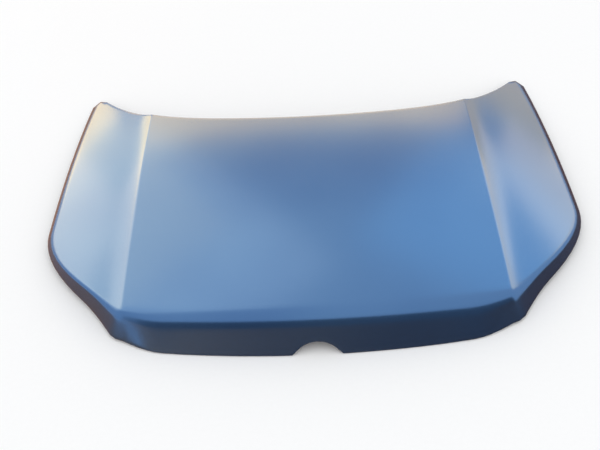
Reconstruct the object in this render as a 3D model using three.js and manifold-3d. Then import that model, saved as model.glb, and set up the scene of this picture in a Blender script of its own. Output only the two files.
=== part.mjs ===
// A car bonnet: a pressed steel skin hemmed round a stamped inner frame, which carries the hinge and latch parts.
// Millimetres. X runs across the car, Y rearwards and Z up. Each shape is worked out with Y = 0 near the front lip
// and Z = 0 at the lips, and the whole bonnet is then moved so that it lies centred on the floor.

import * as THREE from "three";
import { mergeVertices } from "three/addons/utils/BufferGeometryUtils.js";
import Module from "manifold-3d";

const wasm = await Module();
wasm.setup();

// Sheet thicknesses, and the gap left between any two pieces that touch on the real bonnet.
const SKIN_SHEET = 0.8;
const FRAME_SHEET = 0.7;
const FIT_GAP = 0.3;

// Plan of the top face, up to where its edges start to turn down.
const CREASE_X = 491; // each long crease, from the centre plane
const FLANK_WIDTH = 193; // from a crease out to the rear tip
const REAR_TIP_X = CREASE_X + FLANK_WIDTH;
const REAR_CENTRE_Y = 816; // rear edge on the centre plane
const REAR_SWEEP = 118; // even curve of the rear edge, measured at the tips
const REAR_HORN = 124; // how much further the tips reach back
const NOSE_LINE_Y = 80; // front edge on the centre plane
const NOSE_SWEEP = 42; // how much further back that edge is at the creases
const LAMP_LEAD_X = 92; // the headlamp edge leaves the crease along this handle
const LAMP_LEAD_Y = 80;
const LAMP_TRAIL = 118; // and runs into the side along this one
const SHOULDER_REACH = 35; // how much wider the top face is at its widest place than at the rear tips
const SHOULDER_X = REAR_TIP_X + SHOULDER_REACH;
const SHOULDER_Y = 440;
const SHOULDER_BULGE = 5; // outward curve of the side

// Heights of the top face above the lips, on the centre plane, and its fall to the sides.
const NOSE_HEIGHT = 91;
const MIDDLE_HEIGHT = 109;
const REAR_HEIGHT = 96;
const CROWN_FALL = 18; // from the centre plane to a crease
const STEP_FALL = 9; // the step down outside a crease
const STEP_WIDTH = 70; // over which that step fades
const FLANK_FALL = 21.8; // extra roll of the flank, from the crease to the shoulder

// The edge: a rolled bend of this tangent length, then a flat lip that runs out this far in plan.
const NOSE_ROLL = 30;
const NOSE_RUN = 50;
const SIDE_ROLL = 11;
const SIDE_RUN = 16;
const REAR_ROLL = 2;
const REAR_RUN = 12;
const LIP_RISE = 22; // how high the lip stands half way along the sides
const LIP_RISE_START = 20; // Y where the lip leaves the floor
const LIP_RISE_END = 1040; // Y where it is down again
const NOSE_FADE_START = 380; // X where the nose section starts to give way to the side section
const NOSE_FADE_END = 600; // X where nothing of it is left

// The hem: the skin folds right round the frame's edge.
const HEM_LENGTH = 8;
const HEM_SETBACK = 3; // from the start of the fold to the frame's edge
const HEM_GAP = 0.8; // between the frame's edge and the folded flange under it
const HEM_RADIUS = SKIN_SHEET + (FIT_GAP + FRAME_SHEET + HEM_GAP) / 2;
const LEAST_DROP = HEM_LENGTH + HEM_SETBACK; // the lip hangs this far below the face, or further

// The round notch in the front lip, for the badge.
const NOTCH_HALF = 61;
const NOTCH_RISE = 35;

// The frame: hat-shaped ribs with openings between them.
const FRAME_DEPTH = 24; // from the skin's face to the web of a rib
const MASTIC_GAP = 4; // between the skin and the flange round an opening
const FRAME_FLOOR = 10; // the web stays this far above the lips
const EDGE_FLANGE = 22; // flange that lies on the skin all round
const WALL_RUN = 16; // sloping wall of a rib, in plan
const OPENING_FLANGE = 15;
const OPENING_CORNER = 40; // cut across each corner of an opening
const V_RIB_WEB = 40;
const CROSS_RIB_WEB = 44;
const REAR_BAND_WEB = 56;
const FRONT_BAND_WEB = 66;
const MIDDLE_OPENING_HALF = 165; // half width of the middle opening at the rear edge
const OUTER_OPENING_INSET = 56; // from a crease in to the outer opening, at the rear edge
const REAR_OPENING_SHARE = 0.58; // the rear row's share of the length left for openings

// Hinge and latch parts.
const THREAD = 8;
const BOLT_HOLE = 9;
const NUT_WIDTH = 14; // across the corners
const NUT_HEIGHT = 6.5;
// A plate's bolts lie along its longer side, this far in from its ends.
const HINGE_PLATE = { width: 44, length: 84, sheet: 2, corner: 6, inset: 17 };
const HINGE_PAD_DEPTH = 18; // below the lowest skin over the pad
const LATCH_PLATE = { width: 110, length: 50, sheet: 1.5, corner: 6, inset: 24 };
const LATCH_PAD_DEPTH = 22;
const STRIKER_MARGIN = 11; // how much shorter the striker plate is than the latch plate, at each end
const STRIKER_PLATE = {
  width: LATCH_PLATE.width - 2 * STRIKER_MARGIN,
  length: 46,
  sheet: 3,
  corner: 8,
  inset: LATCH_PLATE.inset - STRIKER_MARGIN,
};
const STRIKER_ROD = 8;
const STRIKER_SPAN = 32; // between the centres of the loop's two legs
const STRIKER_DROP = 40; // from the striker plate to the middle of the loop's bar
const STRIKER_CORNER = 10;
const BOLT_HEAD = 5.5;
const BOLT_FLANGE = { radius: 9, height: 1.8 };
const BOLT_TAIL = 1.5; // how far a bolt ends past its nut

// A dab of mastic between the skin and the flange of an opening.
const DAB_LENGTH = 26;
const DAB_WIDTH = 10;
const DAB_SIDES = 10;

const mix = (a, b, share) => a + (b - a) * share;
const clamp01 = (value) => Math.min(1, Math.max(0, value));
const smooth = (value) => clamp01(value) ** 2 * (3 - 2 * clamp01(value));
const inRange = (value, [low, high]) => value >= low && value <= high;

// The skin's shape.

// Height of the skin's upper face over a place in the plan.
function skinHeight(x, y) {
  const t = (y - NOSE_LINE_Y) / (REAR_CENTRE_Y - NOSE_LINE_Y);
  const bow = 4 * MIDDLE_HEIGHT - 2 * (NOSE_HEIGHT + REAR_HEIGHT);
  const centre = mix(NOSE_HEIGHT, REAR_HEIGHT, t) + bow * t * (1 - t);
  const crown = CROWN_FALL * (Math.min(Math.abs(x), CREASE_X) / CREASE_X) ** 2;
  const beyond = Math.max(0, Math.abs(x) - CREASE_X);
  const step = STEP_FALL * (1 - (1 - clamp01(beyond / STEP_WIDTH)) ** 3);
  const slope = ((2 * CROWN_FALL) / CREASE_X) * beyond;
  return centre - crown - step - slope - FLANK_FALL * (beyond / (SHOULDER_X - CREASE_X)) ** 2;
}

const onSkin = (x, y) => new THREE.Vector3(x, y, skinHeight(x, y));

// Rear edge of the top face. A place across it is 0 at the centre, 1 at a crease and 2 at a tip.
function rearEdge(place) {
  const x = place <= 1 ? place * CREASE_X : mix(CREASE_X, REAR_TIP_X, place - 1);
  const share = x / REAR_TIP_X;
  const y = REAR_CENTRE_Y + REAR_SWEEP * share ** 2 + REAR_HORN * share ** 6;
  return new THREE.Vector2(x, y);
}

// Front edge of the top face: the nose line up to the crease, then the headlamp edge to the shoulder.
const lampEdge = new THREE.CubicBezierCurve(
  new THREE.Vector2(CREASE_X, NOSE_LINE_Y + NOSE_SWEEP),
  new THREE.Vector2(CREASE_X + LAMP_LEAD_X, NOSE_LINE_Y + NOSE_SWEEP + LAMP_LEAD_Y),
  new THREE.Vector2(SHOULDER_X, SHOULDER_Y - LAMP_TRAIL),
  new THREE.Vector2(SHOULDER_X, SHOULDER_Y),
);

function frontEdge(place) {
  if (place > 1) return lampEdge.getPoint(place - 1);
  return new THREE.Vector2(place * CREASE_X, NOSE_LINE_Y + NOSE_SWEEP * place ** 2);
}

// The net of lines that the skin and the frame share.
// A column runs from the rear edge to the front edge, and fans in towards the notch inside the creases.
function halfColumns() {
  const rear = [0, MIDDLE_OPENING_HALF - OPENING_CORNER, MIDDLE_OPENING_HALF];
  for (const step of [OPENING_FLANGE, WALL_RUN, V_RIB_WEB, WALL_RUN, OPENING_FLANGE, OPENING_CORNER])
    rear.push(rear.at(-1) + step);
  rear.push(CREASE_X - OUTER_OPENING_INSET - OPENING_CORNER);
  for (const step of [OPENING_CORNER, OPENING_FLANGE, WALL_RUN]) rear.push(rear.at(-1) + step);
  rear.push(CREASE_X);
  const notchShares = [0, 0.23, 0.46, 0.67, 0.85, 1];
  const ribX = rear[notchShares.length - 1];
  const columns = rear.map((x, i) => {
    const fan = mix(NOTCH_HALF, CREASE_X, (x - ribX) / (CREASE_X - ribX));
    const frontX = i < notchShares.length ? notchShares[i] * NOTCH_HALF : fan;
    return { rear: x / CREASE_X, front: frontX / CREASE_X };
  });
  const flankPlaces = [0.14, 0.36, 0.7, 1.15].map((share) => share * STEP_WIDTH);
  flankPlaces.push(FLANK_WIDTH - EDGE_FLANGE - WALL_RUN, FLANK_WIDTH - EDGE_FLANGE, FLANK_WIDTH);
  for (const place of flankPlaces.map((width) => 1 + width / FLANK_WIDTH))
    columns.push({ rear: place, front: place });
  return columns;
}

const HALF = halfColumns();
const COLUMNS = [
  ...HALF.slice(1).reverse().map((column) => ({ ...column, side: -1 })),
  ...HALF.map((column) => ({ ...column, side: 1 })),
];
const CENTRE = HALF.length - 1; // number of the centre column

// Rows of the net, from the rear edge to the front edge, as shares of the way.
function netRows() {
  const length = REAR_CENTRE_Y - NOSE_LINE_Y;
  const toWeb = EDGE_FLANGE + WALL_RUN;
  const toOpening = WALL_RUN + OPENING_FLANGE;
  const bands = REAR_BAND_WEB + CROSS_RIB_WEB + FRONT_BAND_WEB;
  const openings = length - bands - 2 * toWeb - 4 * toOpening;
  const places = [0];
  const add = (...steps) => {
    for (const step of steps) places.push(places.at(-1) + step);
  };
  const addOpening = (size) => add(OPENING_CORNER, size - 2 * OPENING_CORNER, OPENING_CORNER);
  add(EDGE_FLANGE, WALL_RUN, REAR_BAND_WEB, WALL_RUN, OPENING_FLANGE);
  addOpening(openings * REAR_OPENING_SHARE);
  add(OPENING_FLANGE, WALL_RUN, CROSS_RIB_WEB, WALL_RUN, OPENING_FLANGE);
  addOpening(openings * (1 - REAR_OPENING_SHARE));
  add(OPENING_FLANGE, WALL_RUN, FRONT_BAND_WEB, WALL_RUN, EDGE_FLANGE);
  return places.map((place) => place / length);
}

const ROWS = netRows();
const LAST_COLUMN = COLUMNS.length - 1;
const LAST_ROW = ROWS.length - 1;

// Ranges of the net that the frame's parts take: columns counted from the centre, and rows.
const mirrored = ([low, high]) => [-high, -low];
const MIDDLE_COLUMNS = [-2, 2];
const OUTER_COLUMNS = [7, 10];
const OPENINGS = [[5, 8], [13, 16]].flatMap((rows) => [
  { columns: MIDDLE_COLUMNS, rows },
  { columns: OUTER_COLUMNS, rows },
  { columns: mirrored(OUTER_COLUMNS), rows },
]);
const HINGE_COLUMNS = [15, 17];
const PADS = [
  { columns: HINGE_COLUMNS, rows: [2, 6], depth: HINGE_PAD_DEPTH },
  { columns: mirrored(HINGE_COLUMNS), rows: [2, 6], depth: HINGE_PAD_DEPTH },
  { columns: [-5, 5], rows: [18, 19], depth: LATCH_PAD_DEPTH },
];

// Place in the plan of a crossing of the net.
function netPlace(column, share) {
  const place = rearEdge(column.rear).lerp(frontEdge(column.front), share);
  const flank = Math.max(0, column.rear - 1);
  place.x += SHOULDER_BULGE * 4 * share * (1 - share) * flank ** 2;
  return new THREE.Vector2(place.x * column.side, place.y);
}

// A sheet is a list of points, and faces that list their corners anticlockwise as seen from the outer side.
class Sheet {
  points = [];
  faces = [];

  add(point) {
    return this.points.push(point) - 1;
  }

  // Adds a face of three or four corners. Four are cut so that the two halves of the bonnet mirror each other.
  addFace(corners) {
    const [a, b, c, d] = corners;
    const turned = this.points[a].x + this.points[c].x < 0;
    if (d === undefined) this.faces.push([a, b, c]);
    else if (turned) this.faces.push([b, c, d], [b, d, a]);
    else this.faces.push([a, b, c], [a, c, d]);
  }

  // Joins two closed loops of points.
  join(inner, outer) {
    inner.forEach((a, i) => {
      const next = (i + 1) % inner.length;
      this.addFace([a, outer[i], outer[next], inner[next]]);
    });
  }

  // At each point, the vector that moves its faces outwards by one millimetre.
  normals() {
    const sums = this.points.map(() => new THREE.Vector3());
    const around = this.points.map(() => []);
    for (const [a, b, c] of this.faces) {
      const [p, q, r] = [a, b, c].map((i) => this.points[i]);
      const [side, far, other] = [[p, q], [q, r], [r, p]].map(([from, to]) => to.clone().sub(from));
      const normal = side.clone().cross(far).normalize();
      const angles = [side.angleTo(other.clone().negate()), far.angleTo(side.clone().negate())];
      angles.push(Math.PI - angles[0] - angles[1]);
      [a, b, c].forEach((i, k) => {
        sums[i].addScaledVector(normal, angles[k]);
        around[i].push({ normal, angle: angles[k] });
      });
    }
    return sums.map((sum, i) => {
      if (!around[i].length) return sum;
      sum.normalize();
      const total = around[i].reduce((all, { angle }) => all + angle, 0);
      const met = around[i].reduce((all, { normal, angle }) => all + angle * normal.dot(sum), 0);
      return sum.multiplyScalar(total / met);
    });
  }

  // Gives the sheet its thickness, on its inner side, and closes its edges.
  thicken(thickness) {
    const normals = this.normals();
    const count = this.points.length;
    const inner = this.points.map((point, i) => point.clone().addScaledVector(normals[i], -thickness));
    const triangles = [];
    const edges = new Map();
    for (const [a, b, c] of this.faces) {
      triangles.push([a, b, c], [c + count, b + count, a + count]);
      for (const [from, to] of [[a, b], [b, c], [c, a]])
        if (!edges.delete(`${to} ${from}`)) edges.set(`${from} ${to}`, [from, to]);
    }
    for (const [from, to] of edges.values())
      triangles.push([to, from, from + count], [to, from + count, to + count]);
    const geometry = new THREE.BufferGeometry().setFromPoints([...this.points, ...inner]);
    geometry.setIndex(triangles.flat());
    return mergeVertices(geometry);
  }
}

// The edge of the top face, turned down to the lip.

// The crossings along the net's four edges, anticlockwise from above.
function edgeLoop(net) {
  const front = net.map((column) => column[LAST_ROW]);
  const right = net[LAST_COLUMN].slice(1, -1).reverse();
  const rear = net.map((column) => column[0]).reverse();
  const left = net[0].slice(1, -1);
  return [...front, ...right, ...rear, ...left];
}

// Direction of a closed loop at one of its points.
function loopDirection(loop, i) {
  const to = new THREE.Vector3().subVectors(loop[i], loop.at(i - 1)).normalize();
  const from = new THREE.Vector3().subVectors(loop[(i + 1) % loop.length], loop[i]).normalize();
  return to.add(from).normalize();
}

// Height of the lip along the sides.
function lipHeight(y) {
  const share = clamp01((y - LIP_RISE_START) / (LIP_RISE_END - LIP_RISE_START));
  return LIP_RISE * Math.sin(Math.PI * share) ** 0.8;
}

// How far the badge notch cuts up into the lip.
function notchHeight({ x, y }) {
  if (Math.abs(x) >= NOTCH_HALF || y > NOSE_LINE_Y) return 0;
  const radius = (NOTCH_HALF ** 2 + NOTCH_RISE ** 2) / (2 * NOTCH_RISE);
  return Math.sqrt(radius ** 2 - x ** 2) - (radius - NOTCH_RISE);
}

// The bend and the lip, for a point of the edge and the direction of the edge there.
function lipSection(edge, along) {
  const out = new THREE.Vector2(along.y, -along.x).normalize();
  const sideways = out.x * Math.sign(edge.x);
  const turned = smooth(Math.max(sideways, -out.y) / 0.7);
  const nose = 1 - smooth((Math.abs(edge.x) - NOSE_FADE_START) / (NOSE_FADE_END - NOSE_FADE_START));
  const roll = mix(REAR_ROLL, mix(SIDE_ROLL, NOSE_ROLL, nose), turned ** 3);
  const run = mix(REAR_RUN, mix(SIDE_RUN, NOSE_RUN, nose), turned);
  const corner = onSkin(edge.x + out.x * roll, edge.y + out.y * roll);
  const lip = onSkin(corner.x + out.x * run, corner.y + out.y * run);
  lip.z = mix(lip.z, Math.min(lipHeight(lip.y), corner.z - LEAST_DROP), turned);
  const down = new THREE.Vector3().subVectors(lip, corner).normalize();
  const bendEnd = corner.clone().addScaledVector(down, roll);
  lip.addScaledVector(down, -notchHeight(lip));
  return { bend: new THREE.QuadraticBezierCurve3(edge, corner, bendEnd), down, lip };
}

// Rings of points from the edge of the top face to the end of the hem.
// The frame follows the skin along the first of them, up to the lip, and the others are the fold.
const frameRingCount = 5;

function lipRings(edges) {
  const sections = edges.map((edge, i) => lipSection(edge, loopDirection(edges, i)));
  const lips = sections.map((section) => section.lip);
  const profiles = sections.map(({ bend, down, lip }, i) => {
    const along = loopDirection(lips, i);
    const out = down.clone().addScaledVector(along, -down.dot(along)).normalize();
    const inward = new THREE.Vector3().crossVectors(along, out).normalize();
    const hem = (forwards, inwards) =>
      lip.clone().addScaledVector(out, forwards).addScaledVector(inward, inwards);
    const fold = (angle) => hem(HEM_RADIUS * Math.sin(angle), HEM_RADIUS * (1 - Math.cos(angle)));
    return [
      bend.getPoint(1 / 3),
      bend.getPoint(2 / 3),
      bend.getPoint(1),
      lip.clone().addScaledVector(down, -HEM_LENGTH / down.dot(out)),
      lip,
      fold(Math.PI / 3),
      fold((2 * Math.PI) / 3),
      fold(Math.PI),
      hem(-HEM_LENGTH, 2 * HEM_RADIUS),
    ];
  });
  return profiles[0].map((_, k) => profiles.map((profile) => profile[k]));
}

// Outer skin.

function makeNet(sheet, pointAt) {
  return COLUMNS.map((_, i) => ROWS.map((__, j) => sheet.add(pointAt(i, j))));
}

// The four crossings round a cell of the net.
const cellCorners = (net, i, j) => [net[i][j], net[i][j + 1], net[i + 1][j + 1], net[i + 1][j]];

const skin = new Sheet();
const skinNet = makeNet(skin, (i, j) => {
  const place = netPlace(COLUMNS[i], ROWS[j]);
  return onSkin(place.x, place.y);
});
for (let i = 0; i < LAST_COLUMN; i++)
  for (let j = 0; j < LAST_ROW; j++) skin.addFace(cellCorners(skinNet, i, j));

const skinEdge = edgeLoop(skinNet);
const skinRings = lipRings(skinEdge.map((i) => skin.points[i])).map((ring) =>
  ring.map((point) => skin.add(point)),
);
skinRings.forEach((ring, k) => skin.join(k ? skinRings[k - 1] : skinEdge, ring));
const skinNormals = skin.normals();

// A point this deep below the skin's outer face, under one of the skin's points.
const underSkin = (number, depth) =>
  skin.points[number].clone().addScaledVector(skinNormals[number], -depth);

// Inner frame.

// A pad is level. Its height is set by the lowest skin over it, and its centre is the mean of its corners.
function padPlace({ columns, rows, depth }) {
  const [left, right] = columns.map((column) => column + CENTRE);
  const corners = [left, right].flatMap((i) => rows.map((j) => skin.points[skinNet[i][j]]));
  const centre = new THREE.Vector3();
  for (const corner of corners) centre.addScaledVector(corner, 1 / corners.length);
  centre.z = Math.min(...corners.map((corner) => corner.z)) - depth;
  return centre;
}

const PAD_PLACES = PADS.map(padPlace);
const EDGE_DEPTH = SKIN_SHEET + FIT_GAP;

// Depth of the frame below the skin's face at a crossing of the net.
function frameDepth(i, j) {
  if (i <= 1 || j <= 1 || i >= LAST_COLUMN - 1 || j >= LAST_ROW - 1) return EDGE_DEPTH;
  const onFlange = OPENINGS.some(
    ({ columns, rows }) =>
      inRange(i - CENTRE, [columns[0] - 1, columns[1] + 1]) && inRange(j, [rows[0] - 1, rows[1] + 1]),
  );
  if (onFlange) return SKIN_SHEET + MASTIC_GAP;
  const room = skin.points[skinNet[i][j]].z - FRAME_FLOOR;
  return Math.max(EDGE_DEPTH, Math.min(FRAME_DEPTH, room));
}

function framePoint(i, j) {
  const point = underSkin(skinNet[i][j], frameDepth(i, j));
  PADS.forEach(({ columns, rows }, k) => {
    if (inRange(i - CENTRE, columns) && inRange(j, rows)) point.z = PAD_PLACES[k].z;
  });
  return point;
}

// The corners of a cell that are metal: all four, three where an opening cuts across, or none inside one.
function metalCorners(corners, i, j) {
  const opening = OPENINGS.find(
    ({ columns, rows }) =>
      inRange(i - CENTRE, [columns[0], columns[1] - 1]) && inRange(j, [rows[0], rows[1] - 1]),
  );
  if (!opening) return corners;
  const atLeft = i - CENTRE === opening.columns[0];
  const atRight = i - CENTRE === opening.columns[1] - 1;
  const atRear = j === opening.rows[0];
  const atFront = j === opening.rows[1] - 1;
  const open = [atRight && atFront, atRight && atRear, atLeft && atRear, atLeft && atFront].indexOf(true);
  return open < 0 ? [] : [1, 2, 3].map((step) => corners[(open + step) % 4]);
}

const frame = new Sheet();
const frameNet = makeNet(frame, framePoint);
for (let i = 0; i < LAST_COLUMN; i++)
  for (let j = 0; j < LAST_ROW; j++) {
    const corners = metalCorners(cellCorners(frameNet, i, j), i, j);
    if (corners.length) frame.addFace(corners);
  }
const underRings = skinRings
  .slice(0, frameRingCount)
  .map((ring) => ring.map((number) => underSkin(number, EDGE_DEPTH)));
underRings.at(-1).forEach((point, i) => {
  point.lerp(underRings.at(-2)[i], HEM_SETBACK / HEM_LENGTH);
});
const frameRings = underRings.map((ring) => ring.map((point) => frame.add(point)));
frameRings.forEach((ring, k) => frame.join(k ? frameRings[k - 1] : edgeLoop(frameNet), ring));

// Cutting and joining of closed meshes.

function toSolid(geometry) {
  const bare = geometry.clone();
  bare.deleteAttribute("normal");
  bare.deleteAttribute("uv");
  const shared = mergeVertices(bare);
  return new wasm.Manifold(
    new wasm.Mesh({
      numProp: 3,
      vertProperties: Float32Array.from(shared.attributes.position.array),
      triVerts: Uint32Array.from(shared.index.array),
    }),
  );
}

function toGeometry(solid) {
  const mesh = solid.getMesh();
  const geometry = new THREE.BufferGeometry();
  geometry.setAttribute("position", new THREE.BufferAttribute(mesh.vertProperties, 3));
  geometry.setIndex(new THREE.BufferAttribute(mesh.triVerts, 1));
  return geometry;
}

// An upright cylinder, or a prism when it has few sides, that starts at the given height.
function upright(radius, bottom, height, sides = 20) {
  const geometry = new THREE.CylinderGeometry(radius, radius, height, sides);
  return geometry.rotateX(Math.PI / 2).translate(0, 0, bottom + height / 2);
}

// Places of a plate's two bolts, from its centre.
function boltPlaces({ width, length, inset }) {
  const reach = Math.max(width, length) / 2 - inset;
  return [-reach, reach].map((step) =>
    width > length ? new THREE.Vector2(step, 0) : new THREE.Vector2(0, step),
  );
}

function drilledFrame() {
  const plates = [HINGE_PLATE, HINGE_PLATE, LATCH_PLATE];
  let solid = toSolid(frame.thicken(FRAME_SHEET));
  plates.forEach((plate, k) => {
    const centre = PAD_PLACES[k];
    for (const bolt of boltPlaces(plate)) {
      const drill = upright(BOLT_HOLE / 2, -4 * FRAME_SHEET, 8 * FRAME_SHEET);
      drill.translate(centre.x + bolt.x, centre.y + bolt.y, centre.z);
      solid = solid.subtract(toSolid(drill));
    }
  });
  return toGeometry(solid);
}

// Hinge and latch parts. Each is made with its seat at the origin.

function makePlate(plate) {
  const { width, length, sheet, corner } = plate;
  const x = width / 2 - corner;
  const y = length / 2 - corner;
  const outline = new THREE.Shape();
  outline.absarc(x, y, corner, 0, Math.PI / 2);
  outline.absarc(-x, y, corner, Math.PI / 2, Math.PI);
  outline.absarc(-x, -y, corner, Math.PI, 1.5 * Math.PI);
  outline.absarc(x, -y, corner, 1.5 * Math.PI, 2 * Math.PI);
  for (const bolt of boltPlaces(plate))
    outline.holes.push(new THREE.Path().absarc(bolt.x, bolt.y, BOLT_HOLE / 2, 0, 2 * Math.PI, true));
  return new THREE.ExtrudeGeometry(outline, { depth: sheet, bevelEnabled: false, curveSegments: 6 });
}

function makeNut() {
  const body = toSolid(upright(NUT_WIDTH / 2, 0, NUT_HEIGHT, 6));
  const bore = toSolid(upright(THREAD / 2 + FIT_GAP, -NUT_HEIGHT, 3 * NUT_HEIGHT));
  return toGeometry(body.subtract(bore));
}

// A hexagon-head flange bolt, head down, that reaches this far above its seat.
function makeBolt(reach) {
  const { radius, height } = BOLT_FLANGE;
  const head = toSolid(upright(NUT_WIDTH / 2, -height - BOLT_HEAD, BOLT_HEAD + height / 2, 6));
  const flange = toSolid(upright(radius, -height, height));
  const shank = toSolid(upright(THREAD / 2, -height / 2, height / 2 + reach));
  return toGeometry(head.add(flange).add(shank));
}

// The striker loop hangs in the fore-and-aft plane.
function makeStrikerLoop() {
  const half = STRIKER_SPAN / 2;
  const at = (y, z) => new THREE.Vector3(0, y, z);
  const path = new THREE.CurvePath();
  const bar = -STRIKER_DROP;
  const turnIn = half - STRIKER_CORNER;
  const turnDown = bar + STRIKER_CORNER;
  path.add(new THREE.LineCurve3(at(-half, 0), at(-half, turnDown)));
  path.add(new THREE.QuadraticBezierCurve3(at(-half, turnDown), at(-half, bar), at(-turnIn, bar)));
  path.add(new THREE.LineCurve3(at(-turnIn, bar), at(turnIn, bar)));
  path.add(new THREE.QuadraticBezierCurve3(at(turnIn, bar), at(half, bar), at(half, turnDown)));
  path.add(new THREE.LineCurve3(at(half, turnDown), at(half, 0)));
  const section = new THREE.Shape().absarc(0, 0, STRIKER_ROD / 2, 0, 2 * Math.PI);
  return new THREE.ExtrudeGeometry(section, { extrudePath: path, steps: 26, curveSegments: 6 });
}

// A dab of mastic in the middle of a cell of the net, with its length along the cell's longer side.
function makeDab(i, j) {
  const numbers = cellCorners(skinNet, i, j);
  const levels = [SKIN_SHEET + FIT_GAP, SKIN_SHEET + MASTIC_GAP - FIT_GAP].map((depth) =>
    numbers.map((number) => underSkin(number, depth)),
  );
  const [a, b, c, d] = levels[0];
  const down = a.distanceTo(b) + d.distanceTo(c);
  const across = a.distanceTo(d) + b.distanceTo(c);
  const [rowShare, columnShare] =
    down > across ? [DAB_LENGTH / down, DAB_WIDTH / across] : [DAB_WIDTH / down, DAB_LENGTH / across];
  const rings = levels.map(([p, q, r, s]) =>
    Array.from({ length: DAB_SIDES }, (_, k) => {
      const angle = (2 * Math.PI * k) / DAB_SIDES;
      const row = 0.5 + rowShare * Math.sin(angle);
      const column = 0.5 + columnShare * Math.cos(angle);
      const left = p.clone().lerp(q, row);
      return left.lerp(s.clone().lerp(r, row), column);
    }),
  );
  const triangles = [];
  for (let k = 0; k < DAB_SIDES; k++) {
    const next = (k + 1) % DAB_SIDES;
    triangles.push([k, next, k + DAB_SIDES], [next, next + DAB_SIDES, k + DAB_SIDES]);
  }
  for (let k = 2; k < DAB_SIDES; k++)
    triangles.push([0, k, k - 1], [DAB_SIDES, DAB_SIDES + k - 1, DAB_SIDES + k]);
  const geometry = new THREE.BufferGeometry().setFromPoints(rings.flat());
  geometry.setIndex(triangles.flat());
  return geometry;
}

// The bonnet.

const metal = (color, roughness, metalness) =>
  new THREE.MeshStandardMaterial({ color, roughness, metalness });
const SKIN_PAINT = metal(0x6c8fbe, 0.3, 0.7);
const FRAME_PAINT = metal(0x5f7fa9, 0.45, 0.6);
const ZINC = metal(0xa9adb0, 0.45, 0.9);
const STEEL = metal(0x6f7274, 0.4, 0.9);
const MASTIC = metal(0x2b2b2d, 0.9, 0);

const bonnet = new THREE.Group();

function place(name, geometry, material, x = 0, y = 0, z = 0) {
  const mesh = new THREE.Mesh(geometry, material);
  mesh.name = name;
  mesh.position.set(x, y, z);
  bonnet.add(mesh);
  return mesh;
}

const skinMesh = place("outer_skin", skin.thicken(SKIN_SHEET), SKIN_PAINT);
place("inner_frame", drilledFrame(), FRAME_PAINT);

// A plate on a pad, with a nut over each of its holes. Gives the height of the plate's top.
function placeReinforcement(name, plate, pad) {
  const bottom = pad.z + FIT_GAP;
  const top = bottom + plate.sheet;
  place(`${name}_plate`, makePlate(plate), ZINC, pad.x, pad.y, bottom);
  boltPlaces(plate).forEach((bolt, k) => {
    place(`${name}_nut_${k + 1}`, makeNut(), ZINC, pad.x + bolt.x, pad.y + bolt.y, top + FIT_GAP);
  });
  return top;
}

const [rightHingePad, leftHingePad, latchPad] = PAD_PLACES;
placeReinforcement("hinge_right", HINGE_PLATE, rightHingePad);
placeReinforcement("hinge_left", HINGE_PLATE, leftHingePad);
const latchPlateTop = placeReinforcement("latch", LATCH_PLATE, latchPad);

const strikerBottom = latchPad.z - FRAME_SHEET - FIT_GAP - STRIKER_PLATE.sheet;
const boltSeat = strikerBottom - FIT_GAP;
const boltReach = latchPlateTop + FIT_GAP + NUT_HEIGHT + BOLT_TAIL - boltSeat;
place("striker_plate", makePlate(STRIKER_PLATE), ZINC, latchPad.x, latchPad.y, strikerBottom);
place("striker_loop", makeStrikerLoop(), STEEL, latchPad.x, latchPad.y, strikerBottom - FIT_GAP);
boltPlaces(STRIKER_PLATE).forEach((bolt, k) => {
  const [x, y] = [latchPad.x + bolt.x, latchPad.y + bolt.y];
  place(`striker_bolt_${k + 1}`, makeBolt(boltReach), ZINC, x, y, boltSeat);
});

// Mastic dabs: one on each straight side of each opening, and two where the centre column divides that side.
let dabs = 0;
for (const { columns, rows } of OPENINGS) {
  const [left, right] = columns.map((column) => column + CENTRE);
  const cells = [[left - 1, rows[0] + 1], [right, rows[0] + 1]];
  for (let i = left + 1; i < right - 1; i++) cells.push([i, rows[0] - 1], [i, rows[1]]);
  for (const [i, j] of cells) place(`mastic_dab_${++dabs}`, makeDab(i, j), MASTIC);
}

// On the floor, centred on the origin.
skinMesh.geometry.computeBoundingBox();
const { min, max } = skinMesh.geometry.boundingBox;
bonnet.position.set(0, -(min.y + max.y) / 2, -min.z);

export default bonnet;
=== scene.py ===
# %% [markdown]
# # A car bonnet
# The bonnet is a thin pressed steel skin, hemmed round a stamped inner frame. The CAD model gives every
# piece its place and its size. This script loads it as a fixed frame and builds the looks around it: a finer
# skin and frame, threaded fasteners, paint, zinc and steel, soft light, and a camera.

# %% Load the frame
import math

import bmesh
import bpy
from mathutils import Matrix, Vector
from mathutils.bvhtree import BVHTree


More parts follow.
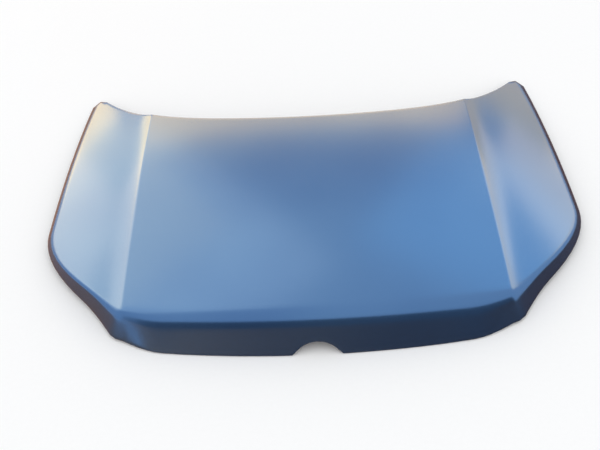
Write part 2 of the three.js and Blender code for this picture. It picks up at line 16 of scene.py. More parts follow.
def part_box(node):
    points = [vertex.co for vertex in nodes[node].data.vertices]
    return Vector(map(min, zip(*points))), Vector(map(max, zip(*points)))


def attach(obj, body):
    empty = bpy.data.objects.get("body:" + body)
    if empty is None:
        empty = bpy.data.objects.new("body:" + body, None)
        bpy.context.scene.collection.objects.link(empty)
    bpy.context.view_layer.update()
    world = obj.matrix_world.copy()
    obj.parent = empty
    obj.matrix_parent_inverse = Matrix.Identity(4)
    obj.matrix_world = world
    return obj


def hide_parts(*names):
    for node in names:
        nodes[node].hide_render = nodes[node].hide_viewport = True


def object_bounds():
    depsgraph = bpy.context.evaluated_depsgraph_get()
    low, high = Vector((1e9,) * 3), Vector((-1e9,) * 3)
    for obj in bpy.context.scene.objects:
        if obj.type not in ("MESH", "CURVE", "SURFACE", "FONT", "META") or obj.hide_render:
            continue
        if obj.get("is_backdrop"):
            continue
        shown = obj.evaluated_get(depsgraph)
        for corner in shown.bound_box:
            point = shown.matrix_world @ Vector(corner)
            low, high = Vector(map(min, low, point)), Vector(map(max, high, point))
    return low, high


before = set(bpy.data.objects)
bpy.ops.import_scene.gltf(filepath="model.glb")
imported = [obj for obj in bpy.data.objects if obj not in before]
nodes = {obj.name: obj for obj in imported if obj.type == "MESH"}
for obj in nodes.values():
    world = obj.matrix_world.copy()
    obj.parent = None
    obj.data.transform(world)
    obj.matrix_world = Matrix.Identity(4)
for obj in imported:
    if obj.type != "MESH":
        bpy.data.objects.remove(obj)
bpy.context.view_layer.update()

# %% [markdown]
# ## The shape of the skin
# A bonnet's upper face is nearly flat, with a crown across the car and a bow along it. A height over each
# place in the plan describes it well, because the face never folds back on itself. Outside each crease the
# face goes on with the slope that the crown has there, and then falls away faster. All values are in
# millimetres, with Y counted rearwards from near the front lip, as the CAD model has them.

# %% Height of the upper face
CREASE_X = 491
TIP_X = 684
SHOULDER_X = 719
REAR_Y, NOSE_Y = 816, 80
REAR_Z, NOSE_Z = 96, 91
BOW_RISE = 15.5
CROWN_FALL = 18
STEP_FALL, STEP_WIDTH = 9, 70
FLANK_FALL = 21.8


def mix(a, b, share):
    return a + (b - a) * share


def clamp(value):
    return min(1.0, max(0.0, value))


def smooth(value):
    return clamp(value) ** 2 * (3 - 2 * clamp(value))


def skin_height(x, y):
    """Height of the face: a bow along the car, a crown across it, and a step down outside each crease."""
    t = (y - NOSE_Y) / (REAR_Y - NOSE_Y)
    centre = mix(NOSE_Z, REAR_Z, t) + 4 * BOW_RISE * t * (1 - t)
    crown = CROWN_FALL * (min(abs(x), CREASE_X) / CREASE_X) ** 2
    beyond = max(0.0, abs(x) - CREASE_X)
    step = STEP_FALL * (1 - (1 - clamp(beyond / STEP_WIDTH)) ** 3)
    roll = 2 * CROWN_FALL / CREASE_X * beyond + FLANK_FALL * (beyond / (SHOULDER_X - CREASE_X)) ** 2
    return centre - crown - step - roll


def on_skin(x, y):
    return Vector((x, y, skin_height(x, y)))


heights = [round(skin_height(x, 440), 1) for x in (0, CREASE_X)]
print("height at the middle:", heights[0], "mm, at a crease:", heights[1], "mm")

# %% [markdown]
# The outline has four edges. The rear edge sweeps back to a horn at each side, where the bonnet runs up
# beside the windscreen. The front edge is the nose line as far as the crease, and then the curved edge over
# the headlamp. Each line of the sheet runs from a place on the rear edge to one on the front edge, so the
# outline comes out exactly, and the crease is one of those lines.

# %% Outline in the plan
LAMP_EDGE = [Vector(p) for p in ((491, 122), (583, 202), (719, 322), (719, 440))]
REAR_SWEEP, HORN = 118, 124
NOSE_SWEEP = 42
FLANK_BULGE = 20


def rear_edge(place):
    """Place 0 is the centre plane, 1 a crease and 2 a tip."""
    x = place * CREASE_X if place <= 1 else mix(CREASE_X, TIP_X, place - 1)
    s = x / TIP_X
    return Vector((x, REAR_Y + REAR_SWEEP * s**2 + HORN * s**6))


def front_edge(place):
    """The nose line, and past the crease a cubic curve over the headlamp."""
    if place <= 1:
        return Vector((place * CREASE_X, NOSE_Y + NOSE_SWEEP * place**2))
    a, b, c, d = LAMP_EDGE
    t = place - 1
    return a * (1 - t) ** 3 + b * 3 * t * (1 - t) ** 2 + c * 3 * t**2 * (1 - t) + d * t**3


def fan(place):
    """Inside the creases the lines run together towards the notch in the middle of the nose."""
    return place * (0.4 + 0.6 * place) if place < 1 else place


def plan(place, share):
    """The point of the face at this place across, and at this share of the way from rear to front."""
    spot = rear_edge(abs(place)).lerp(front_edge(fan(abs(place))), share)
    spot.x += FLANK_BULGE * share * (1 - share) * max(0.0, abs(place) - 1) ** 2
    return on_skin(math.copysign(spot.x, place), spot.y)


# %% [markdown]
# A grid of quads is the natural start for a sheet: its rows and columns become the lines above. The columns
# stand closer beside the crease, because that holds the crease to a small radius when the sheet is shaded
# smooth. A subdivision surface would round it away.

# %% Make the face from a grid
INNER = [i / 34 for i in range(34)] + [0.983, 0.994, 1.0]
OUTER = [1.015, 1.04, 1.075, 1.12, 1.17, 1.23, 1.3, 1.37, 1.45, 1.53, 1.61, 1.69, 1.77, 1.84, 1.9, 1.95, 2.0]
HALF = INNER + OUTER
PLACES = [-p for p in reversed(HALF[1:])] + HALF
ROWS = 64

sheet = bmesh.new()
bmesh.ops.create_grid(sheet, x_segments=len(PLACES) - 1, y_segments=ROWS, size=1)
net = {}
for vert in sheet.verts:
    i = round((vert.co.x + 1) / 2 * (len(PLACES) - 1))
    j = round((1 - vert.co.y) / 2 * ROWS)
    net[i, j] = vert
for (i, j), vert in net.items():
    vert.co = plan(PLACES[i], j / ROWS)
print("face:", len(sheet.verts), "points")

# %% [markdown]
# ## The edge
# A press turns the edge down over a radius, and then folds it right round the frame's edge, which is the
# hem. Each point of the outline gets a section: where the bend ends, which way the wall runs, and where the
# lip is. The nose has a large soft bend and a high wall, the sides a tighter one, and the rear only a short
# lip under the windscreen.

# %% Section of the edge at one point
HEM_RADIUS = 1.7
HEM_LENGTH = 8
NOTCH_HALF, NOTCH_RISE = 61, 35
LIP_RISE, LIP_FRONT, LIP_LENGTH = 22, 20, 1020
NOSE_HALF, NOSE_FADE = 380, 220
REAR_BEND, SIDE_BEND, NOSE_BEND = 2, 11, 30
REAR_RUN, SIDE_RUN, NOSE_RUN = 12, 16, 50
LEAST_WALL = 11


def lip_height(y):
    """The lip touches the ground at the front and at the tips, and arches up between them."""
    return LIP_RISE * math.sin(math.pi * clamp((y - LIP_FRONT) / LIP_LENGTH)) ** 0.8


def notch_height(spot):
    """The round notch for a badge, cut up into the front lip."""
    if abs(spot.x) >= NOTCH_HALF or spot.y > NOSE_Y:
        return 0.0
    radius = (NOTCH_HALF**2 + NOTCH_RISE**2) / (2 * NOTCH_RISE)
    return math.sqrt(radius**2 - spot.x**2) - (radius - NOTCH_RISE)


def direction(ring, i):
    """The way that a closed ring runs at one of its points."""
    before = (ring[i] - ring[i - 1]).normalized()
    after = (ring[(i + 1) % len(ring)] - ring[i]).normalized()
    return (before + after).normalized()


def section(edge, along):
    """The bend's corner and end, the way down the wall, and the lip, at one point of the face's edge."""
    out = Vector((along.y, -along.x)).normalized()
    sideways = out.x * math.copysign(1, edge.x)
    turned = smooth(max(sideways, -out.y) / 0.7)
    nose = 1 - smooth((abs(edge.x) - NOSE_HALF) / NOSE_FADE)
    roll = mix(REAR_BEND, mix(SIDE_BEND, NOSE_BEND, nose), turned**3)
    run = mix(REAR_RUN, mix(SIDE_RUN, NOSE_RUN, nose), turned)
    corner = on_skin(edge.x + out.x * roll, edge.y + out.y * roll)
    lip = on_skin(corner.x + out.x * run, corner.y + out.y * run)
    lip.z = mix(lip.z, min(lip_height(lip.y), corner.z - LEAST_WALL), turned)
    down = (lip - corner).normalized()
    lip -= down * notch_height(lip)
    return corner, corner + down * roll, down, lip


# %% [markdown]
# The outline is extruded ring by ring: eight rings round the bend, five down the wall, one at the lip, six
# round the fold, and one to the end of the hem. Extruding edges keeps the rings joined, so the sheet has no
# seam anywhere.

# %% Extrude the edge ring by ring
BEND_RINGS, FOLD_RINGS = 8, 6
WALL_SHARES = [0.2, 0.4, 0.6, 0.8, 1.0]


def extrude_ring(ring, places):
    """Extrudes a closed ring of points, and puts the new ones at their places."""
    edges = [sheet.edges.get(pair) for pair in zip(ring, ring[1:] + ring[:1])]
    made = bmesh.ops.extrude_edge_only(sheet, edges=edges)["geom"]
    new = {part for part in made if isinstance(part, bmesh.types.BMVert)}
    following = [next(e.other_vert(v) for e in v.link_edges if e.other_vert(v) in new) for v in ring]
    for vert, place in zip(following, places):
        vert.co = place
    return following


last = len(PLACES) - 1
ring = [net[i, ROWS] for i in range(last + 1)]
ring += [net[last, j] for j in range(ROWS - 1, 0, -1)]
ring += [net[i, 0] for i in range(last, -1, -1)]
ring += [net[0, j] for j in range(1, ROWS)]
edge = [vert.co.copy() for vert in ring]
sections = [section(spot, direction(edge, i)) for i, spot in enumerate(edge)]
lips = [lip for _, _, _, lip in sections]

outs, inwards, walls = [], [], []
for i, (_, _, down, lip) in enumerate(sections):
    along = direction(lips, i)
    out = (down - along * down.dot(along)).normalized()
    outs.append(out)
    inwards.append(along.cross(out).normalized())
    walls.append(lip - down * (HEM_LENGTH / down.dot(out)))

for k in range(1, BEND_RINGS + 1):
    t = k / BEND_RINGS
    bend = [s * (1 - t) ** 2 + c * 2 * t * (1 - t) + e * t**2 for s, (c, e, _, _) in zip(edge, sections)]
    ring = extrude_ring(ring, bend)
for share in WALL_SHARES:
    ring = extrude_ring(ring, [s[1].lerp(wall, share) for s, wall in zip(sections, walls)])
ring = extrude_ring(ring, lips)
for k in range(1, FOLD_RINGS + 1):
    angle = math.pi * k / FOLD_RINGS
    ahead, inside = HEM_RADIUS * math.sin(angle), HEM_RADIUS * (1 - math.cos(angle))
    ring = extrude_ring(ring, [p + o * ahead + n * inside for p, o, n in zip(lips, outs, inwards)])
ring = extrude_ring(ring, [p - o * HEM_LENGTH + n * 2 * HEM_RADIUS for p, o, n in zip(lips, outs, inwards)])
print("sheet:", len(sheet.faces), "faces,", len(ring), "points round the hem")

# %% [markdown]
# The finished sheet becomes metres and moves to the CAD model's place. The fine rings reach a tenth of a
# millimetre further than the CAD's facets, so the sheet is fitted to the CAD skin's box. A Solidify modifier
# gives it the 0.8 mm of the steel on its inner side, so the outer face stays where the measures put it.

# %% Place the skin
MM = 0.001
SNUG = 0.9999


def new_data(name, mesh, finish):
    """Mesh data with one finish, made from a bmesh that is freed."""
    data = bpy.data.meshes.new(name)
    mesh.to_mesh(data)
    mesh.free()
    data.materials.append(finish.owner)
    return data


def new_object(name, data):
    made = bpy.data.objects.new(name, data)
    bpy.context.scene.collection.objects.link(made)
    return made


def to_piece(name, mesh, slot, finish, *replaced, hard=180):
    """Makes an object that stands for the named nodes. Edges above the hard angle stay sharp in its shading."""
    data = new_data(name, mesh, finish)
    data.shade_smooth()
    data.set_sharp_from_angle(angle=math.radians(hard))
    piece = new_object(name, data)
    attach(piece, "root")
    if replaced:
        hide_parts(*replaced)
    return piece


def corners_of(mesh):
    """The lowest and the highest corner of a mesh's box."""
    spots = [vert.co for vert in mesh.verts]
    return [Vector([pick(spot[axis] for spot in spots) for axis in range(3)]) for pick in (min, max)]


place_low, place_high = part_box("outer_skin")
bmesh.ops.scale(sheet, vec=(MM, MM, MM), verts=sheet.verts)
own_low, own_high = corners_of(sheet)
fit = [SNUG * (place_high[k] - place_low[k]) / (own_high[k] - own_low[k]) for k in range(3)]
bmesh.ops.scale(sheet, vec=fit, verts=sheet.verts)
own_low, own_high = corners_of(sheet)
middle_shift = (place_low + place_high - own_low - own_high) / 2
bmesh.ops.translate(sheet, vec=middle_shift, verts=sheet.verts)
print("fitted by", [round(factor, 5) for factor in fit], "moved by", [round(v, 4) for v in middle_shift])
bmesh.ops.recalc_face_normals(sheet, faces=sheet.faces)
sheet.faces.ensure_lookup_table()
middle = min(sheet.faces, key=lambda face: face.calc_center_median().xy.length)
if middle.normal.z < 0:
    bmesh.ops.reverse_faces(sheet, faces=sheet.faces)
print("middle of the face looks", "up" if middle.normal.z > 0 else "down")

# %% [markdown]
# ## Finishes
# A finish is a node tree. Written as expressions it reads like the sum it is: a small class wraps a socket,
# and each operator adds one Math node. Everything else comes from one method, which takes the type of a
# node, its settings and what goes into its sockets.

# %% Shader helpers
class Socket:
    """An output of a node, with arithmetic."""

    def __init__(self, finish, output):
        self.finish, self.output = finish, output

    def _math(self, operation, a, b):
        return self.finish.add("ShaderNodeMath", {"operation": operation}, {0: a, 1: b})["Value"]

    def __add__(self, other):
        return self._math("ADD", self, other)

    def __sub__(self, other):
        return self._math("SUBTRACT", self, other)

    def __mul__(self, other):
        return self._math("MULTIPLY", self, other)


class Finish:
    """A tree of shader nodes, for a material or for the world."""

    def __init__(self, owner):
        owner.use_nodes = True
        self.tree = owner.node_tree
        self.owner = owner

    def put(self, value, target):
        """Links an output to a socket, or sets the socket to a plain value."""
        if isinstance(value, Socket):
            self.tree.links.new(value.output, target)
        else:
            target.default_value = value

    def add(self, kind, settings=None, sockets=None):
        """Adds a node, and gives its outputs by name."""
        node = self.tree.nodes.new(kind)
        for name, value in (settings or {}).items():
            setattr(node, name, value)
        for name, value in (sockets or {}).items():
            self.put(value, node.inputs[name])
        return {output.name: Socket(self, output) for output in node.outputs if output.enabled}

    def noise(self, scale, detail=2.0, roughness=0.5, stretch=None):
        """Noise in object space, about 0.5 on average. A stretch makes it into streaks."""
        spot = self.add("ShaderNodeTexCoord")["Object"]
        if stretch:
            spot = self.add("ShaderNodeMapping", None, {"Vector": spot, "Scale": stretch})["Vector"]
        sockets = {"Vector": spot, "Scale": scale, "Detail": detail, "Roughness": roughness}
        return self.add("ShaderNodeTexNoise", None, sockets)["Fac"]

    def range(self, value, low, high, to_low=0.0, to_high=1.0):
        """Maps a value smoothly from one range to another, and keeps it inside."""
        sockets = {"Value": value, "From Min": low, "From Max": high, "To Min": to_low, "To Max": to_high}
        return self.add("ShaderNodeMapRange", {"interpolation_type": "SMOOTHSTEP"}, sockets)["Result"]

    def blend(self, share, a, b):
        """Mixes two colours."""
        settings = {"data_type": "RGBA"}
        return self.add("ShaderNodeMix", settings, {0: share, 6: a, 7: b})["Result"]

    def bump(self, height, strength, distance):
        sockets = {"Height": height, "Strength": strength, "Distance": distance}
        return self.add("ShaderNodeBump", None, sockets)["Normal"]


def linear(code):
    """A colour written as six hexadecimal digits, as the shader wants it."""
    parts = [int(code[i : i + 2], 16) / 255 for i in (0, 2, 4)]
    return (*[p / 12.92 if p <= 0.04045 else ((p + 0.055) / 1.055) ** 2.4 for p in parts], 1.0)


def new_finish(name, **values):
    """A material with a Principled shader, and the shader's fixed values."""
    finish = Finish(bpy.data.materials.new(name))
    shader = finish.tree.nodes["Principled BSDF"]
    for socket, value in values.items():
        shader.inputs[socket.replace("_", " ")].default_value = value
    return finish, shader


# %% [markdown]
# ### Body paint
# Body paint is a metallic base coat under a clear coat. Aluminium flakes in the base coat sparkle a little
# and carry the blue, and the clear coat adds a second, colourless reflection. Sprayed paint is never quite
# level, which gives the faint ripple called orange peel. Three scales of noise give these: flakes under a
# millimetre, peel of some millimetres, and a slow change of tone over the panel.

# %% Body paint
paint, shader = new_finish("body_paint", Metallic=0.86, Coat_Weight=0.35, Coat_Roughness=0.16, Coat_IOR=1.45)
flake = paint.noise(1400, 1.0)
peel = paint.noise(170, 2.0)
tone = paint.noise(1.7, 2.0)
deep, pale = linear("3f689c"), linear("4b74a5")
colour = paint.blend(paint.range(tone, 0.3, 0.7), deep, pale)
spark = paint.range(flake, 0.55, 0.75, 0.0, 0.2)
paint.put(paint.blend(spark, colour, linear("86a6cc")), shader.inputs["Base Color"])
paint.put(paint.range(flake, 0.3, 0.7, 0.2, 0.26), shader.inputs["Roughness"])
paint.put(paint.bump(peel * 0.8 + flake * 0.2, 0.08, 0.0003), shader.inputs["Normal"])
skin = to_piece("skin", sheet, "skin_paint", paint, "outer_skin")
steel = skin.modifiers.new("steel", "SOLIDIFY")
steel.thickness = 0.8 * MM
steel.offset = -1
steel.use_even_offset = True

# %% [markdown]
# ### Primer on the inner frame
# The underside gets the dip primer and a thin coat of the body colour, so it is duller and less even than
# the outside. Thin and thick places of the coat follow a slow noise, and a fine one gives its dusty grain.

# %% Primer
primer, shader = new_finish("frame_primer", Metallic=0.35, Coat_Weight=0.08, Coat_Roughness=0.4)
thin = primer.range(primer.noise(6, 3.0), 0.35, 0.68)
dust = primer.noise(700, 2.0)
coat = primer.blend(thin, linear("56749d"), linear("6d87ab"))
dusty = primer.range(dust, 0.5, 0.8, 0.0, 0.3)
primer.put(primer.blend(dusty, coat, linear("8e9fb6")), shader.inputs["Base Color"])
primer.put(primer.range(dust + thin, 0.6, 1.4, 0.46, 0.6), shader.inputs["Roughness"])
primer.put(primer.bump(dust, 0.2, 0.0003), shader.inputs["Normal"])

# %% [markdown]
# ## The inner frame
# The frame is one stamping, pressed from a thinner sheet than the skin, and no press leaves a sharp corner. In
# the CAD model its flats and walls meet at corners. The upper side of that shape is copied here, by walking
# from face to face without crossing an edge of the sheet. Its corners are then bevelled into bends, and a
# Solidify modifier gives the sheet its 0.7 mm back.

# %% Press the frame
SHEET_EDGE = math.radians(62)


def merged_copy(node):
    """The node's shape, with its loose triangles joined."""
    mesh = bmesh.new()
    mesh.from_mesh(nodes[node].data)
    bmesh.ops.remove_doubles(mesh, verts=mesh.verts, dist=0.01 * MM)
    return mesh


def corners_over(mesh, angle):
    """The edges where two faces turn by more than this angle."""
    return [e for e in mesh.edges if e.is_manifold and e.calc_face_angle() > math.radians(angle)]


pressing = merged_copy("inner_frame")
flats = [face for face in pressing.faces if face.normal.z > 0.95]
waiting = [max(flats, key=lambda face: face.calc_center_median().z)]
upper = set(waiting)
while waiting:
    for edge_here in waiting.pop().edges:
        if edge_here.is_manifold and edge_here.calc_face_angle() < SHEET_EDGE:
            found = [face for face in edge_here.link_faces if face not in upper]
            upper.update(found)
            waiting.extend(found)
bmesh.ops.delete(pressing, geom=[face for face in pressing.faces if face not in upper], context="FACES")
bmesh.ops.join_triangles(
    pressing, faces=pressing.faces, angle_face_threshold=math.radians(20), angle_shape_threshold=math.radians(70)
)
print("frame:", len(pressing.faces), "faces")

# %% [markdown]
# The ribs get bends of some millimetres. The frame's edge, which follows the skin into the hem, needs none. It
# has another trouble: the fine skin rounds the corners under the creases more than the CAD's facets do, so the
# frame could show through it there. Both need the depth of a place under the skin. The folded flange of the
# hem faces inwards, so it is left out of the faces that are asked.

# %% Round the ribs
RIB_BEND, RIB_DEPTH = 4 * MM, 3 * MM
outer = [p for p in skin.data.polygons if p.normal.z > 0.3 or p.normal.xy.dot(p.center.xy) > 0]
cover = BVHTree.FromPolygons([v.co for v in skin.data.vertices], [p.vertices for p in outer])


def under_skin(spot):
    """How deep a place lies under the skin's face, and which way the face looks there."""
    nearest, outward, _, _ = cover.find_nearest(spot)
    return (nearest - spot).dot(outward), outward


def depth_of(part):
    """How deep the middle of an edge lies."""
    return under_skin((part.verts[0].co + part.verts[1].co) / 2)[0]


def round_off(mesh, edges, offset, segments):
    bmesh.ops.bevel(
        mesh, geom=edges, offset=offset, offset_type="OFFSET", segments=segments, profile=0.5, affect="EDGES",
        clamp_overlap=True, material=-1,
    )


ribs = [corner for corner in corners_over(pressing, 14) if depth_of(corner) > RIB_DEPTH]
round_off(pressing, ribs, RIB_BEND, 4)
print("bends:", len(ribs), "corners rounded, faces now", len(pressing.faces))

# %% [markdown]
# Near the hem, edges whose middle lies less than a millimetre deep are divided. Then each point that lies too
# close is moved down to that depth, which is the steel and a little air. A point more than four millimetres
# outside the faces that are asked isn't covered by them, and stays.

# %% Keep the frame under the skin
LEAST_DEPTH, FAR_OUT = 1.0 * MM, -4 * MM
close = [edge_here for edge_here in pressing.edges if FAR_OUT < depth_of(edge_here) < LEAST_DEPTH]
bmesh.ops.subdivide_edges(pressing, edges=close, cuts=3, use_grid_fill=True)
bmesh.ops.triangulate(pressing, faces=[face for face in pressing.faces if len(face.verts) > 4])
pushes = []
for vert in pressing.verts:
    depth, outward = under_skin(vert.co)
    if FAR_OUT < depth < LEAST_DEPTH:
        vert.co -= outward * (LEAST_DEPTH - depth)
        pushes.append(LEAST_DEPTH - depth)
print("edges divided:", len(close), "points moved:", len(pushes), "by up to", round(max(pushes) / MM, 2), "mm")
frame_piece = to_piece("frame_pressing", pressing, "frame_paint", primer, "inner_frame", hard=20)
stamped = frame_piece.modifiers.new("steel", "SOLIDIFY")
stamped.thickness = 0.7 * MM
stamped.offset = -1

# %% [markdown]
# ### Zinc, bare steel and mastic
# Plates, nuts and bolts are zinc plated: pale grey, with a crystal pattern of some millimetres and a cloudy
# shine. The striker loop is drawn rod, so it has fine marks along its length, and the lock's hook keeps the
# bottom of it bright. The mastic is soft black filler with a dull, grainy face.

# %% Zinc
zinc, shader = new_finish("zinc_plate", Metallic=0.92)
spot = zinc.add("ShaderNodeTexCoord")["Object"]
crystal = zinc.add("ShaderNodeTexVoronoi", None, {"Vector": spot, "Scale": 260.0})["Distance"]
cloud = zinc.noise(60, 3.0)
zinc.put(zinc.blend(zinc.range(cloud, 0.3, 0.7), linear("969b9e"), linear("b9bcbc")), shader.inputs["Base Color"])
zinc.put(zinc.range(crystal + cloud, 0.4, 1.2, 0.3, 0.52), shader.inputs["Roughness"])
zinc.put(zinc.bump(crystal, 0.15, 0.0002), shader.inputs["Normal"])

# %% Striker steel
rod, shader = new_finish("striker_steel", Metallic=0.95)
marks = rod.noise(900, 3.0, 0.6, (1.0, 1.0, 0.06))
height = rod.add("ShaderNodeSeparateXYZ", None, {"Vector": rod.add("ShaderNodeTexCoord")["Object"]})["Z"]
worn = rod.range(height, 28 * MM, 36 * MM, 1.0, 0.0)
rod.put(rod.blend(worn, linear("5d6062"), linear("b4b5b3")), shader.inputs["Base Color"])
rod.put(rod.range(marks, 0.3, 0.7, 0.34, 0.5) - worn * 0.12, shader.inputs["Roughness"])
rod.put(rod.bump(marks, 0.2, 0.0002), shader.inputs["Normal"])

# %% Mastic
mastic, shader = new_finish("mastic", Specular_IOR_Level=0.3)
grain = mastic.noise(420, 3.0)
mastic.put(mastic.blend(grain, linear("202022"), linear("3a3a3b")), shader.inputs["Base Color"])
mastic.put(mastic.range(grain, 0.3, 0.7, 0.7, 0.9), shader.inputs["Roughness"])
mastic.put(mastic.bump(grain, 0.5, 0.0006), shader.inputs["Normal"])

# %% [markdown]
# ## Nuts and bolts
# Nuts and bolts are turned round an axis, but their heads are hexagons and their threads climb. A grid rolled
# into a tube makes all of it: one side of the grid goes round the axis, the other along the outline, and each
# row says how far out and how high it lies at each share of the turn.

# %% Rows of a turned piece
NUT_CORNER, NUT_HEIGHT = 7, 6.5
FLAT = NUT_CORNER * math.cos(math.radians(30))
PITCH = 1.25


def ring_at(radius, height):
    return lambda turn: (radius, height)


def hexagon(height, slope=0.0, inset=0.0):
    """A six-sided row. With a slope its corners drop away, as a chamfer leaves them."""

    def row(turn):
        radius = FLAT / math.cos(math.radians((360 * turn + 30) % 60 - 30))
        return radius - inset, height + slope * (radius - FLAT)

    return row


def thread(inner, outer, low, high):
    """Rows up a metric thread, whose ridge climbs one pitch a turn."""

    def row(height):
        return lambda turn: (mix(inner, outer, 0.5 + 0.5 * math.cos(2 * math.pi * (height / PITCH - turn))), height)

    count = round((high - low) / PITCH * 6)
    return [row(mix(low, high, k / count)) for k in range(count + 1)]


def rolled(steps, rows, place):
    """A grid rolled up, with each point at place(share of the turn, row)."""
    mesh = bmesh.new()
    bmesh.ops.create_grid(mesh, x_segments=steps, y_segments=rows, size=1)
    for vert in mesh.verts:
        vert.co = place((vert.co.x + 1) / 2, round((vert.co.y + 1) / 2 * rows))
    bmesh.ops.remove_doubles(mesh, verts=mesh.verts, dist=0.002 * MM)
    bmesh.ops.recalc_face_normals(mesh, faces=mesh.faces)
    return mesh


def turned(name, rows, seat):
    """A turned piece of zinc in place of a node, round a vertical axis in the middle of the node's box."""
    low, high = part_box(name)

    def place(turn, row):
        radius, height = rows[row](turn)
        angle = 2 * math.pi * turn
        spot = Vector((radius * math.cos(angle), radius * math.sin(angle), height)) * MM
        return spot + Vector(((low.x + high.x) / 2, (low.y + high.y) / 2, low.z + seat * MM))

    return to_piece("turned_" + name, rolled(72, len(rows) - 1, place), "zinc_steel", zinc, name, hard=38)


# %% [markdown]
# A weld nut is a plain hexagon with a chamfered top. Its thread starts at a small countersink at both ends.

# %% Weld nuts
NUT_ROWS = [
    ring_at(4.7, 0), ring_at(6.0, 0), hexagon(0, inset=0.3), hexagon(0.3), hexagon(NUT_HEIGHT - 0.15, slope=-0.58),
    ring_at(FLAT - 0.25, NUT_HEIGHT), ring_at(4.7, NUT_HEIGHT), *reversed(thread(4.05, 4.3, 0.4, NUT_HEIGHT - 0.4)),
    ring_at(4.7, 0),
]
nuts = [turned(node, NUT_ROWS, 0) for node in nodes if "_nut_" in node]
print("nuts:", len(nuts), "with", len(nuts[0].data.polygons), "faces each")

# %% [markdown]
# The striker bolts are flange bolts, driven from below. The head is dished in the middle, where the forging
# die marks it, a fillet joins it to the flange, and the shank ends in a chamfered point for the nut to find.

# %% Striker bolts
SEAT = 7.3
REACH = (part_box("striker_bolt_1")[1].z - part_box("striker_bolt_1")[0].z) / MM - SEAT
BOLT_ROWS = [
    ring_at(0, -6.9), ring_at(3.7, -6.9), ring_at(4.2, -SEAT), ring_at(FLAT - 0.35, -SEAT),
    hexagon(-SEAT + 0.2, slope=0.58), hexagon(-2.9), ring_at(7.1, -2.3), ring_at(7.7, -1.9), ring_at(8.7, -1.5),
    ring_at(9.0, -1.1), ring_at(9.0, -0.3), ring_at(8.8, 0), ring_at(4.4, 0), ring_at(4.0, 0.3),
    *thread(3.5, 4.0, 0.6, REACH - 1.1), ring_at(3.1, REACH), ring_at(0, REACH),
]
bolts = [turned(node, BOLT_ROWS, SEAT) for node in nodes if "_bolt_" in node]
print("bolts:", len(bolts), "with", len(bolts[0].data.polygons), "faces each")

# %% [markdown]
# ## Reinforcement plates
# The plates are blanked from thicker strip. Blanking rounds the edge where the punch enters, and the holes are
# true circles. The outline and the holes are filled as one face, which gets its thickness and then a bevel.

# %% Blank the plates
HOLE_RADIUS, HOLE_STEPS = 4.5 * MM, 48
PUNCH_ROUND = 0.35 * MM


def arc(centre, radius, start, end, steps):
    angles = [math.radians(mix(start, end, k / steps)) for k in range(steps + 1)]
    return [centre + radius * Vector((math.cos(a), math.sin(a), 0)) for a in angles]


def blank(name, corner, holes):
    """A plate in place of a node, with rounded corners, and a hole where each of the other nodes stands."""
    low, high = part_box(name)
    x0, y0, x1, y1 = low.x + corner, low.y + corner, high.x - corner, high.y - corner
    centres = [(x1, y1), (x0, y1), (x0, y0), (x1, y0)]
    turns = [arc(Vector((*spot, low.z)), corner, 90 * k, 90 * k + 90, 10) for k, spot in enumerate(centres)]
    loops = [sum(turns, [])]
    for hole in holes:
        hole_low, hole_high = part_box(hole)
        middle = Vector((*((hole_low + hole_high) / 2).xy, low.z))
        loops.append(arc(middle, HOLE_RADIUS, 0, 360 - 360 / HOLE_STEPS, HOLE_STEPS - 1))
    mesh = bmesh.new()
    rims = []
    for loop in loops:
        verts = [mesh.verts.new(spot) for spot in loop]
        rims += [mesh.edges.new(pair) for pair in zip(verts, verts[1:] + verts[:1])]
    bmesh.ops.triangle_fill(mesh, use_beauty=True, edges=rims)
    bmesh.ops.solidify(mesh, geom=mesh.faces[:], thickness=high.z - low.z)
    lowest = min(vert.co.z for vert in mesh.verts)
    bmesh.ops.translate(mesh, vec=(0, 0, low.z - lowest), verts=mesh.verts)
    bmesh.ops.recalc_face_normals(mesh, faces=mesh.faces)
    round_off(mesh, corners_over(mesh, 60), PUNCH_ROUND, 2)
    return to_piece("blanked_" + name, mesh, "zinc_steel", zinc, name, hard=40)


plates = []
for hand in ("right", "left"):
    plates.append(blank(f"hinge_{hand}_plate", 6 * MM, [f"hinge_{hand}_nut_1", f"hinge_{hand}_nut_2"]))
plates.append(blank("latch_plate", 6 * MM, ["latch_nut_1", "latch_nut_2"]))
plates.append(blank("striker_plate", 8 * MM, ["striker_bolt_1", "striker_bolt_2"]))
print("plates:", [len(plate.data.polygons) for plate in plates], "faces")

# %% [markdown]
# ## Striker loop
# The loop is an 8 mm rod, bent twice in a jig. A bend in a rod is a true arc, and the rod keeps its round
# section through it. So its middle line is two legs, two quarter circles and the bar that the lock grips.
# The ends are cut flat, with their rims a little broken.

# %% Bend the loop
low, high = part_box("striker_loop")
ROD, BEND, BEND_STEPS = 4 * MM, 10 * MM, 12
CUT = ROD * 0.9
origin = Vector(((low.x + high.x) / 2, (low.y + high.y) / 2, 0))
half, top_z, bar_z = (high.y - low.y) / 2 - ROD, high.z, low.z + ROD
across = [(-half, mix(top_z, bar_z + BEND, k / 5)) for k in range(5)]
for k in range(BEND_STEPS + 1):
    angle = math.pi / 2 * k / BEND_STEPS
    across.append((-half + BEND * (1 - math.cos(angle)), bar_z + BEND * (1 - math.sin(angle))))
across += [(mix(-half + BEND, 0, k / 3), bar_z) for k in (1, 2)]
across += [(0, bar_z)] + [(-y, z) for y, z in reversed(across)]
line = [origin + Vector((0, y, z)) for y, z in across]
stations = [(line[0], 0), (line[0], CUT)]
stations += [(spot, ROD) for spot in line[1:-1]]
stations += [(line[-1], CUT), (line[-1], 0)]


